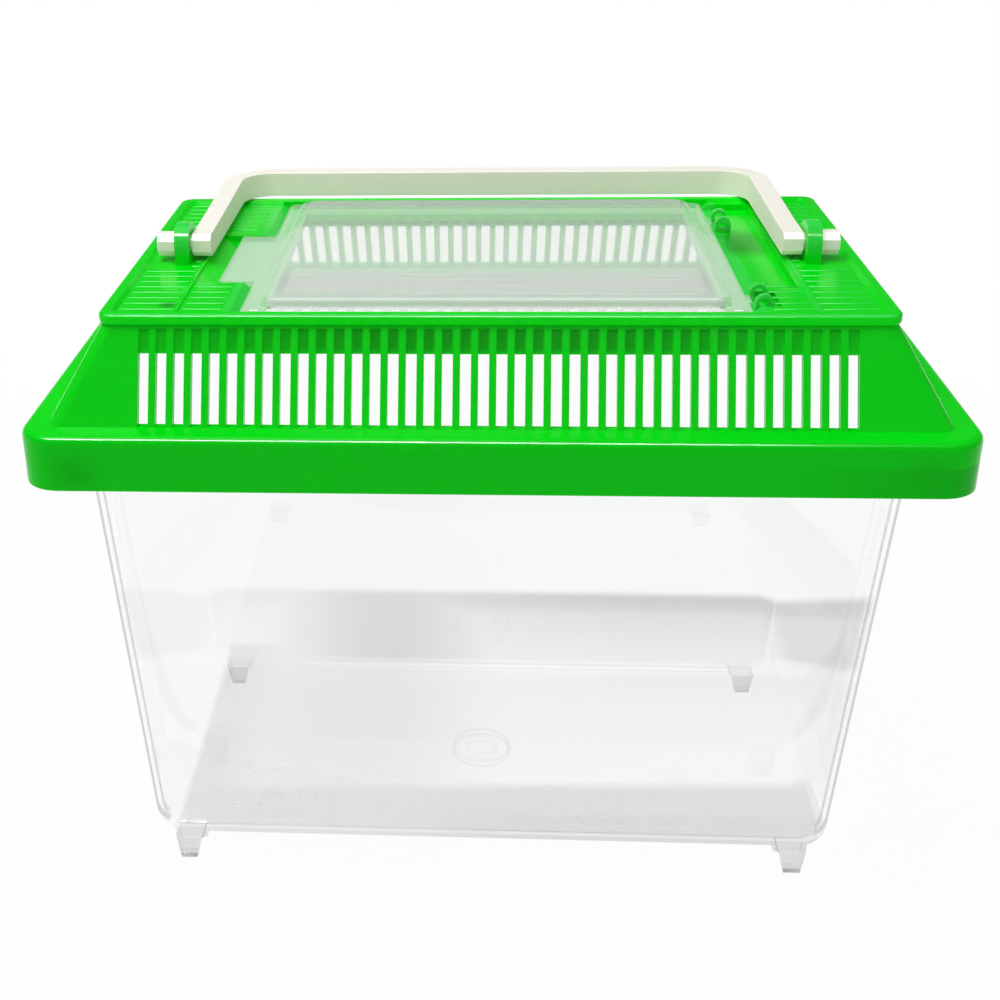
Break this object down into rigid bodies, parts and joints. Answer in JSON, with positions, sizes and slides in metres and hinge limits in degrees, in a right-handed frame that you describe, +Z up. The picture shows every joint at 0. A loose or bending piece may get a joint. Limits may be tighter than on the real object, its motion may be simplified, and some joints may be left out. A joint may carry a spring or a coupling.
{
  "type": "pet keeper",
  "caption": "Small clear plastic pet keeper: tapered tank on feet, vented sloping lid with a hinged clear trap door and a folding carry handle.",
  "frame": {"origin": "middle of the footprint, on the plane of the foot bottoms", "axes": "+X along the long side, towards the trap door's hinge; +Y to the back; +Z up"},
  "size_m": [0.231, 0.149, 0.1802],
  "materials": {
    "clear_tank": "clear polished polystyrene",
    "green_lid": "vivid green, slightly translucent, smooth moulded",
    "clear_door": "clear polished polystyrene",
    "ivory_handle": "ivory white, satin moulded"
  },
  "bodies": {
    "tank": {"tank": "clear_tank"},
    "lid": {"lid": "green_lid"},
    "trap_door": {"trap_door": "clear_door"},
    "handle": {"handle": "ivory_handle"}
  },
  "joints": [
    {"name": "lid_lift", "type": "slide", "parent": "tank", "child": "lid", "axis": [0, 0, 1], "range_m": [0, 0.06]},
    {"name": "trap_door_hinge", "type": "hinge", "parent": "lid", "child": "trap_door", "pos_m": [0.0655, -0.005, 0.1704], "axis": [0, 1, 0], "range_deg": [0, 105]},
    {"name": "handle_pivot", "type": "hinge", "parent": "lid", "child": "handle", "pos_m": [0, -0.006, 0.1744], "axis": [1, 0, 0], "range_deg": [0, 175]}
  ]
}
